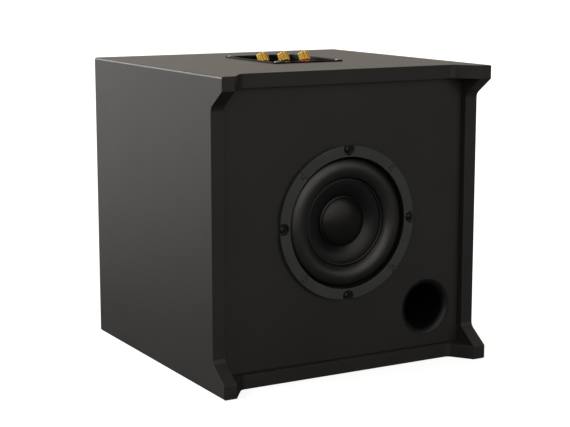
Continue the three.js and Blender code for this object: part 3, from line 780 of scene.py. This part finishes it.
def pan_screw(name, place, head, rise, shank, length):
    """A pan-head screw with a cross recess and a helical thread. The head sits on height zero."""
    def thread(radius, height, angle):
        if height > -1 or radius < 0.5 * shank:
            return radius
        turn = (height / 1.2 - angle / (2 * pi)) % 1
        return radius - 0.3 * abs(2 * turn - 1)

    run = length - 1 - shank
    threaded = [(shank, -length + shank + run * share) for share in shares(round(run / 0.3))]
    seat = [(shank, 0), (head - 0.2, 0), (head, 0.2)]
    crown = arc((0, 0), (head, rise), 25, 90, 8)
    screw = turned(name, [(0, -length), *threaded, *seat, *crown], place, 40, thread)
    arm, width = 0.55 * head, 0.13 * head
    cross = [
        block("cross", (-arm, arm), (-width, width), (0.4 * rise, rise + 1), place),
        block("cross", (-width, width), (-arm, arm), (0.4 * rise, rise + 1), place),
    ]
    return carve(screw, *cross)


def cone_face(radius):
    """Height of the cone's face: flat at the rim, steeper towards the neck."""
    inward = max(0.0, (CONE["flat"] - radius) / (CONE["flat"] - CONE["neck"]))
    return CONE["z"] - CONE["depth"] * inward ** CONE["curve"]


def stretch_between(piece, weight_at):
    """Bakes a soft piece's place into its mesh and works out a weight for each vertex. Nothing uses the
    weights, so the piece is not tied to the cone. weight_at(point) is 1 where it would move with the cone.
    """
    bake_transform(piece)
    values = [weight_at(vertex.co) for vertex in piece.data.vertices]


def smooth_step(value, start, end):
    share = min(1.0, max(0.0, (value - start) / (end - start)))
    return share * share * (3 - 2 * share)


def from_axis(point):
    return hypot(point.x - DRIVER.translation.x, point.z - DRIVER.translation.z) / MM


def surround():
    """A half-roll of rubber, with one lip on the frame's ledge and one on the cone that ends in a bead."""
    middle, half, height, foot, thick = ROLL.values()
    lip = LEDGE["outer"] - 0.3
    bead = CONE["flat"] + 0.6
    outline = rounded([
        (bead - 0.5, foot - thick + 0.1, 0.1),
        *arc((middle, foot - thick), (half - thick, height), 180, 0, 28),
        (lip, foot - thick + 0.1, 0.2),
        (lip, foot, 0.2),
        *arc((middle, foot), (half, height), 0, 180, 32),
        (bead + 1.4, foot, 0.2),
        (bead + 0.9, foot + 1.2, 0.5),
        (bead - 0.4, foot + 1.2, 0.5),
    ])
    piece = dress(turned("surround_roll", outline, DRIVER, 160), "surround_rubber", sharp=60)
    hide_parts("surround")
    start, end = CONE["rim"] + 0.3, middle + half - 1
    stretch_between(piece, lambda point: 1 - smooth_step(from_axis(point), start, end))


def spider():
    """A corrugated cloth ring, glued to the former inside and to the frame's ledge outside."""
    inner, outer, z, wave, thick, folds = SPIDER.values()
    start, end = inner + 3, outer - 4.5
    under = [(inner, z + 2 * wave)]
    for share in shares(24 * folds):
        swing = sin(pi * (2 * folds * share + 0.5))
        under.append((start + (end - start) * share, z + wave * (1 + swing)))
    under += [(end + 1.5, z + 0.1), (outer, z + 0.1)]
    over = [(radius, height + thick) for radius, height in reversed(under)]
    piece = dress(turned("spider_cloth_ring", under + over, DRIVER, 120), "spider_cloth", sharp=60)
    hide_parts("spider")
    stretch_between(piece, lambda point: 1 - smooth_step(from_axis(point), start, end))


def tinsel_lead(index, side):
    """A loose lead from the back of the cone to the terminal strip."""
    radius, (end, start) = TINSEL.values()
    x = side * TAB["x"]
    points = [
        (x, start, -9.5 - radius),
        (x * 1.1, start - 15, -21),
        (x * 1.1, end + 3, -29),
        (x, end, STRIP["z"][1] + 0.4),
    ]
    piece = dress(cable(f"tinsel_{index}", points, radius, DRIVER, sides=12), "copper", sharp=60)
    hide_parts(f"tinsel_lead_{index}")
    top = DRIVER @ Vector((0, (start - 1) * MM, 0))
    bottom = DRIVER @ Vector((0, (end + 2) * MM, 0))
    stretch_between(piece, lambda point: smooth_step(point.z, bottom.z, top.z))


def wound(inner, outer, bottom, top, turns):
    """The outline of a winding, with one ridge for each turn of wire."""
    pitch = (top - bottom) / turns
    ridges = []
    for i in range(turns):
        centre = bottom + pitch * (i + 0.5)
        ridges += arc((outer - pitch / 2, centre), (pitch / 2, pitch / 2), -80, 80, 6)
    return [(inner, bottom), *ridges, (inner, top)]


def moving_parts():
    moving = "cone_assembly"
    radii = [CONE["neck"] + (CONE["flat"] - CONE["neck"]) * share for share in shares(28)] + [CONE["rim"]]
    face = [(radius, cone_face(radius)) for radius in radii]
    back = [(radius, height - CONE["thick"]) for radius, height in face]
    fit(turned("cone_body", back + face[::-1], DRIVER, 160), "cone_paper", "cone", body=moving, sharp=60)

    r, height, foot, thick = DUST_CAP.values()
    lip = [(r + 1.1, foot), (r + 1.1, foot + 0.5), (r + 0.7, foot + 0.9), (r, foot + 0.9)]
    over = arc((0, foot), (r, height), 9, 90, 24)
    under = arc((0, foot), (r - 1.2 * thick, height - thick), 90, 0, 24)
    dome = turned("dust_dome", lip + over + under, DRIVER, 128)
    fit(dome, "dust_cap_paper", "dust_cap", body=moving, sharp=60)

    tube = ring(FORMER["inner"], FORMER["outer"], FORMER["z"], 0.1)
    fit(turned("former_tube", tube, DRIVER), "former_paper", "voice_coil_former", body=moving)
    coil = wound(COIL["inner"], COIL["outer"], *COIL["z"], COIL["turns"])
    fit(turned("coil_winding", coil, DRIVER), "copper", "voice_coil", body=moving)


def motor():
    plate = ring(TOP_PLATE["inner"], TOP_PLATE["outer"], TOP_PLATE["z"], 0.6)
    fit(turned("motor_top_plate", plate, DRIVER), "motor_steel", "top_plate")
    magnet = ring(MAGNET["inner"], MAGNET["outer"], MAGNET["z"], 1.2)
    fit(turned("motor_magnet", magnet, DRIVER), "ferrite", "magnet")
    bottom, floor = YOKE["plate"]
    yoke = rounded([
        (YOKE["vent"], bottom, 1.5),
        (YOKE["r"], bottom, 1.5),
        (YOKE["r"], floor, 0.6),
        (YOKE["pole"], floor, 0.8),
        (YOKE["pole"], TOP_PLATE["z"][1], 0.6),
        (YOKE["vent"], TOP_PLATE["z"][1], 1.2),
    ])
    fit(turned("motor_yoke", yoke, DRIVER), "motor_steel", "yoke")


def driver_terminals():
    half = STRIP["half_width"]
    strip = block("terminal_strip", (-half, half), STRIP["y"], STRIP["z"], DRIVER)
    fit(ease(strip, 0.4, 2), "former_paper", "driver_terminal_strip")
    wide = TAB["half_width"]
    bottom, top = TAB["z"]
    for index, side in {1: -1, 2: 1}.items():
        x = side * TAB["x"]
        tab = block(f"solder_tab_{index}", (x - wide, x + wide), TAB["y"], TAB["z"], DRIVER)
        hole = rod("hole", 0.9, bottom - 1, top + 1, DRIVER, (x, TAB["y"][0] + 2.2), 20)
        fit(ease(carve(tab, hole), 0.15, 2), "tinned_steel", f"driver_tab_{index}")
        tinsel_lead(index, side)


def driver():
    driver_frame()
    gasket()
    for i, angle in enumerate(quarters()):
        at = polar(SCREW_CIRCLE_R * MM, angle)
        place = DRIVER @ Matrix.Translation((at.x, at.y, (FLANGE[1] + 0.05) * MM))
        screw = pan_screw(f"frame_screw_{i + 1}", place, head=4, rise=2.5, shank=1.9, length=14)
        fit(screw, "black_screw", f"driver_screw_{i + 1}")
    surround()
    moving_parts()
    spider()
    motor()
    driver_terminals()


# ---------------------------------------------------------------- port

def port():
    mouth, bore, skin, length, lip = PORT.values()
    flare = mouth - bore
    outline = rounded([
        (bore, -length, 0.8),
        (bore + skin, -length, 0.8),
        (bore + skin, -flare - lip, 0.5),
        (mouth, -flare - lip, 0.5),
        (mouth, -0.3, 0),
        (mouth - 0.1, 0, 0),
        *arc((mouth, -flare), (flare, flare), 94, 180, 16),
    ])
    fit(turned("port_pipe", outline, PORT_AXIS, 128), "black_plastic", "port_tube", sharp=50)


# ---------------------------------------------------------------- terminal cup and posts

def oblong(x, y):
    """The corners of a rectangle of these half-widths."""
    return [(-x, -y), (x, -y), (x, y), (-x, y)]


def cup_screw_places():
    return oblong(*CUP_SCREW_AT)


def plate_outline(inset, corner):
    return rounded(oblong(PLATE["width"] / 2 - inset, PLATE["length"] / 2 - inset), corner, 6)


def recess_outline(margin):
    """The recess seen from above, grown by a margin."""
    corners = oblong(RECESS["half_width"] + margin, RECESS["half_length"] + margin)
    return rounded(corners, RECESS["corner"] + margin, 10)


def recess_body(name, margin, top):
    """The recess, grown by a margin: a shelf at the front, then the ramp, then the deep end."""
    slope = tan(RAMP_ANGLE)
    shelf, depth = RECESS["shelf"] + margin, RECESS["depth"] + margin
    under = margin / cos(RAMP_ANGLE)
    wide, far = PLATE["width"], PLATE["length"]
    side = rounded([
        (-far, top, 0),
        (-far, -shelf, 0),
        (RAMP_TOP + (shelf - under) / slope, -shelf, 2),
        (RAMP_TOP + (depth - under) / slope, -depth, 4),
        (far, -depth, 0),
        (far, top, 0),
    ])
    turn = Matrix.Rotation(pi / 2, 4, "Z") @ Matrix.Rotation(pi / 2, 4, "X")
    body = prism(name, side, -wide, wide, CUP_PLACE @ turn)
    plan = prism("plan", recess_outline(margin), -2 * depth, 2 * depth, CUP_PLACE)
    return carve(body, plan, operation="INTERSECT")


def terminal_cup():
    flange, skin, gap = CUP.values()
    corner, rim = PLATE["corner"], PLATE["rim"]
    step = gap + flange - PLATE["step"]
    cup = prism("terminal_plate", plate_outline(0, corner), gap, gap + flange, CUP_PLACE)
    carve(cup, recess_body("shell", skin, gap + flange / 2), operation="UNION")
    hollow = recess_body("hollow", 0, 2 * flange)
    pocket = prism("pocket", plate_outline(rim, corner - 1), step, 2 * flange, CUP_PLACE)
    holes = [rod("hole", CUP_HOLE_R, -1, 2 * flange, CUP_PLACE, at, 20) for at in cup_screw_places()]
    stud_hole = POST_R["stud"] + 0.3
    holes += [rod("hole", stud_hole, -2 * skin, skin, post_place(i), segments=32) for i in (1, 2, 3)]
    carve(cup, hollow, pocket, *holes)
    fit(ease(cup, 0.3, 2, angle=40), "black_plastic", "terminal_cup")
    # The cup takes the darker copy of the black plastic: painted shade for its recess.
    cup.data.materials[0] = MATERIALS["cup_plastic_painted_shade"]
    for i, (x, y) in enumerate(cup_screw_places()):
        place = CUP_PLACE @ Matrix.Translation((x * MM, y * MM, (step + 0.02) * MM))
        screw = pan_screw(f"plate_screw_{i + 1}", place, head=3.2, rise=1.7, shank=1.4, length=10)
        fit(screw, "tinned_steel", f"cup_screw_{i + 1}")


def screw_thread(radius, height, angle):
    """Cuts a helical thread into a post, wherever it has the stud's radius."""
    if abs(radius - POST_R["stud"]) > 1e-3:
        return radius
    turn = (height / THREAD["pitch"] - angle / (2 * pi)) % 1
    return radius - THREAD["depth"] * abs(2 * turn - 1)


def post_stud(index, place):
    stud, flange = POST_R["stud"], POST_R["flange"]
    (low_face, high_face), tail, tip = POST["flange"], POST["tail"], POST["tip"]

    def threaded(start, end):
        rows = round((end - start) / 0.2)
        return [(stud, start + (end - start) * share) for share in shares(rows)]

    outline = [
        (0, tail),
        (stud - 0.6, tail),
        *threaded(tail + 0.6, low_face - 0.3),
        (stud - 0.01, low_face),
        (flange - 0.3, low_face),
        (flange, low_face + 0.3),
        (flange, high_face - 0.4),
        (flange - 0.4, high_face),
        (stud - 0.01, high_face),
        *threaded(high_face + 0.3, tip - 0.5),
        (stud - 0.5, tip),
        (POST_R["socket"], tip),
        (POST_R["socket"], high_face),
        (0, high_face),
    ]
    piece = turned(f"stud_{index}", outline, place, 40, screw_thread)
    above_ring = place @ Matrix.Translation((0, 0, (POST["ring"][1] + 1.5) * MM))
    across = above_ring @ Matrix.Rotation(pi / 2, 4, "Y")
    carve(piece, rod("wire_hole", 1.6, -2 * stud, 2 * stud, across, segments=24))
    fit(piece, "gold_plate", f"post_stud_{index}")


def post_cap(index, place):
    """A knob with rounded lobes round it, bored for the stud from below and for a plug from above."""
    bottom, top = POST["cap"]
    full = POST_R["cap"]

    def lobes(radius, height, angle):
        if radius < POST_R["bore"] + 0.5:
            return radius
        reach = (radius - POST_R["bore"]) / (full - POST_R["bore"])
        return radius - CAP_DIP * reach * (1 - abs(cos(CAP_LOBES * angle / 2)))

    outline = rounded([
        (POST_R["bore"], bottom, 0.2),
        (full - 0.15, bottom, 0.35),
        (full, bottom + 1.2, 0.3),
        (full, top - 0.9, 0.8),
        (full - 1.1, top, 0.5),
        (POST_R["socket"] + 0.9, top, 0.4),
        (POST_R["socket"], top - 0.8, 0.3),
        (POST_R["socket"], POST["tip"] + 0.5, 0),
        (POST_R["bore"], POST["tip"] + 0.5, 0.3),
    ])
    piece = turned(f"knob_{index}", outline, place, 24 * CAP_LOBES, lobes)
    fit(piece, "gold_plate", f"post_cap_{index}", body=f"post_{index}_cap", sharp=50)


def post_lug(index, place):
    low_face, high_face = LUG["z"]
    eye = turned(f"lug_{index}", ring(POST_R["stud"] + 0.2, LUG["r"], LUG["z"], 0.15), place, 48)
    wide = LUG["half_width"]
    tip = rounded([
        (-wide, LUG["r"] - 1.2, 0),
        (wide, LUG["r"] - 1.2, 0),
        (wide, LUG["reach"], 1.8),
        (-wide, LUG["reach"], 1.8),
    ], count=5)
    carve(eye, prism("tab", tip, low_face, high_face, place), operation="UNION")
    carve(eye, rod("hole", 0.9, low_face - 1, high_face + 1, place, (0, LUG["reach"] - 2.2), 20))
    fit(eye, "tinned_steel", f"post_lug_{index}")


def post_nut(index, place):
    top = LUG["z"][0] - 0.3
    bottom = top - NUT["thick"]
    nut = rod(f"nut_{index}", NUT["r"], bottom, top, place, segments=6)
    face, side = 0.88 * NUT["r"], NUT["r"] + 0.1
    eased = [(0, bottom), (face, bottom), (side, bottom + 0.6), (side, top - 0.6), (face, top), (0, top)]
    carve(nut, turned("chamfer", eased, place, 48), operation="INTERSECT")
    carve(nut, rod("bore", POST_R["stud"] + 0.15, bottom - 1, top + 1, place, segments=40))
    fit(nut, "tinned_steel", f"post_nut_{index}")


def posts():
    bands = {1: "red_band", 2: "black_band", 3: "red_band"}
    for index, slot in bands.items():
        place = post_place(index)
        post_stud(index, place)
        outline = ring(POST_R["stud"] + 0.3, POST_R["ring"], POST["ring"], 0.5)
        band = turned(f"band_{index}", outline, place, 64)
        fit(band, slot, f"post_ring_{index}", body=f"post_{index}_band")
        post_cap(index, place)
        post_lug(index, place)
        post_nut(index, place)


# ---------------------------------------------------------------- crossover and wiring

def crossover():
    floor = BOARD["z"][1] + 0.3
    board = block("crossover_plate", *BOARD.values())
    fit(ease(board, 0.5, 2), "board", "crossover_board")

    at, flange, hub, bore, height, cheek = CHOKE.values()
    choke = WORLD @ Matrix.Translation((at[0] * MM, at[1] * MM, floor * MM))
    bobbin = rounded([
        (bore, 0),
        (flange, 0, 0.9),
        (flange, cheek, 0.9),
        (hub, cheek),
        (hub, height - cheek),
        (flange, height - cheek, 0.9),
        (flange, height, 0.9),
        (bore, height),
    ])
    fit(turned("choke_spool", bobbin, choke), "black_plastic", "choke_bobbin")
    winding = wound(hub + 0.3, flange - 2, cheek + 0.3, height - cheek - 0.3, 14)
    fit(turned("choke_wire", winding, choke), "copper", "choke_winding")

    at, r, length = CAPACITOR.values()
    end = length / 2
    can = rounded([
        (0, -end, 0),
        (r - 3, -end, 0.5),
        (r - 2.4, -end + 0.6, 0.3),
        (r, -end + 0.8, 1.2),
        (r, end - 0.8, 1.2),
        (r - 2.4, end - 0.6, 0.3),
        (r - 3, end, 0.5),
        (0, end, 0),
    ])
    place = WORLD @ Matrix.Translation(Vector((*at, floor + r)) * MM) @ FACING_FRONT
    fit(turned("capacitor_can", can, place, 64), "film_capacitor", "crossover_capacitor")


def wiring():
    """Three wires from the posts down to the crossover, and two from there up to the driver's tabs."""
    deck = BOARD["z"][1] + WIRE_R + 0.3
    for index, slot in {1: "red_wire", 2: "black_wire", 3: "red_wire"}.items():
        tab_end = Vector((0, LUG["reach"] - 2, LUG["z"][0] - WIRE_R - 0.4)) * MM
        end = (post_place(index) @ tab_end) / MM
        landing = BOARD["y"][1] - 12 * index
        points = [
            end,
            (end.x - 4, end.y + 12, end.z - 30),
            (end.x - 18, 60, 160),
            (-14 + 8 * index, landing + 8, 60),
            (-14, landing, deck + 4),
            (-24, landing, deck),
        ]
        fit(cable(f"feed_wire_{index}", points, WIRE_R), slot, f"post_wire_{index}", sharp=60)
    for index, slot in {1: "black_wire", 2: "red_wire"}.items():
        side = 2 * index - 3
        points = [
            (-36 + 6 * side, 14, deck),
            (-34 + 7 * side, -6, deck + 5),
            (-16 + 7 * side, -60, 34),
            (side * TAB["x"], -88, 62),
            (side * TAB["x"], BAFFLE_Y - TAB["z"][0], HALF + TAB["y"][0] - 0.5),
        ]
        fit(cable(f"return_wire_{index}", points, WIRE_R), slot, f"driver_wire_{index}", sharp=60)


# ---------------------------------------------------------------- floor, light and camera

# What the camera sees of the floor is lifted to white. The object sees it as darker, with a glow that grows
# along "towards", from the first value of "glow" to the second between the two distances of "run", in metres.
FLOOR = {
    "bounce": 0.14,
    "seen": 0.55,
    "lift": 0.85,
    "towards": (-0.2, 0.98, 0),
    "run": (0.3, 1.6),
    "glow": (0, 0.6),
    "reach": 40000,
}
# Each pool of light is (towards, edge, core, colour). It grows from nothing, where the cosine of the angle
# from its middle is edge, to its full colour, where that cosine is core.
SKY_BASE = 0.025
SKY_POOLS = [
    ((0.0, 0.1, 1.0), 0.3, 1.0, (0.1, 0.1, 0.1)),
    ((0.5, 0.87, 0.2), 0.3, 0.95, (0.58, 0.53, 0.45)),
    ((-0.5, 0.87, 0.2), 0.3, 0.95, (0.27, 0.26, 0.25)),
    ((-0.45, 0.84, 0.3), 0.96, 0.99, (9, 9, 9)),
    ((-0.64, 0.22, 0.74), 0.9, 0.98, (3, 3, 3)),
    ((-0.05, -1.0, 0.1), 0.68, 0.8, (0.72, 0.69, 0.64)),
    ((-0.5, -0.75, 0.45), 0.5, 0.82, (0.22, 0.21, 0.2)),
]
# The camera that fits the photo's corners: metres, degrees, and millimetres for the lens and its sensor.
CAMERA = {"at": (-0.806, -1.425, 0.4426), "heading": 29.48, "dip": 9.98, "lens": 90.97, "sensor": 36}
CAMERA_REACH = 200


def floor():
    """A plain pale floor, just under the object."""
    nodes = Nodes("pale_floor")
    seen = nodes.add("ShaderNodeLightPath").outputs["Is Camera Ray"]
    grain = nodes.spread(nodes.noise(3, detail=2), 0.98, 1)
    level = nodes.math("MULTIPLY", nodes.spread(seen, FLOOR["bounce"], FLOOR["seen"], (0, 1)), grain)
    grey = nodes.add("ShaderNodeCombineColor", {0: level, 1: level, 2: level})
    nodes.link(grey.outputs["Color"], "Base Color")
    aim = {0: nodes.place, 1: Vector(FLOOR["towards"]).normalized()}
    away = nodes.add("ShaderNodeVectorMath", aim, operation="DOT_PRODUCT").outputs["Value"]
    glow = nodes.spread(away, *FLOOR["glow"], FLOOR["run"])
    unseen = nodes.math("MULTIPLY", nodes.math("SUBTRACT", 1.0, seen), glow)
    nodes.shader.inputs["Emission Color"].default_value = (1, 1, 1, 1)
    lift = nodes.math("MULTIPLY", seen, FLOOR["lift"])
    nodes.link(nodes.math("ADD", lift, unseen), "Emission Strength")
    nodes.shader.inputs["Roughness"].default_value = 0.9
    nodes.shader.inputs["Specular IOR Level"].default_value = 0.0
    span = (-FLOOR["reach"], FLOOR["reach"])
    piece = block("floor", span, span, (-20, -0.2))
    piece.data.materials.append(nodes.material)


def sky():
    """White to the camera. The object sees it as nearly black, with soft pools of light."""
    world = bpy.data.worlds.new("studio")
    bpy.context.scene.world = world
    world.use_nodes = True
    tree = world.node_tree
    tree.nodes.clear()

    def add(kind, inputs, output=0, **settings):
        return add_node(tree, kind, inputs, **settings).outputs[output]

    place = add("ShaderNodeTexCoord", {}, "Generated")
    total = (SKY_BASE, SKY_BASE, SKY_BASE)
    for towards, edge, core, color in SKY_POOLS:
        aim = {0: place, 1: Vector(towards).normalized()}
        facing = add("ShaderNodeVectorMath", aim, "Value", operation="DOT_PRODUCT")
        limits = {"Value": facing, "From Min": edge, "From Max": core, "To Min": 0, "To Max": 1}
        pool = add("ShaderNodeMapRange", limits, interpolation_type="SMOOTHSTEP")
        total = add("ShaderNodeVectorMath", {0: pool, 1: color, 2: total}, operation="MULTIPLY_ADD")
    light = add("ShaderNodeBackground", {"Color": total, "Strength": 1})
    seen = add("ShaderNodeBackground", {"Color": (1, 1, 1, 1), "Strength": 1})
    camera_ray = add("ShaderNodeLightPath", {}, "Is Camera Ray")
    both = add("ShaderNodeMixShader", {0: camera_ray, 1: light, 2: seen})
    add_node(tree, "ShaderNodeOutputWorld", {"Surface": both})


def camera():
    """Looks down on the cabinet a little, from its front left."""
    data = bpy.data.cameras.new("camera")
    data.sensor_width = CAMERA["sensor"]
    data.lens = CAMERA["lens"]
    data.clip_end = CAMERA_REACH
    holder = bpy.data.objects.new("camera", data)
    bpy.context.scene.collection.objects.link(holder)
    heading, dip = radians(CAMERA["heading"]), radians(CAMERA["dip"])
    ahead = Vector((
        sin(heading) * cos(dip),
        cos(heading) * cos(dip),
        -sin(dip),
    ))
    turn = ahead.to_track_quat("-Z", "Y").to_matrix().to_4x4()
    holder.matrix_world = Matrix.Translation(CAMERA["at"]) @ turn
    bpy.context.scene.camera = holder


cabinet()
wadding()
driver()
port()
terminal_cup()
posts()
crossover()
wiring()
floor()
sky()
camera()
bpy.context.scene.view_settings.view_transform = "Standard"
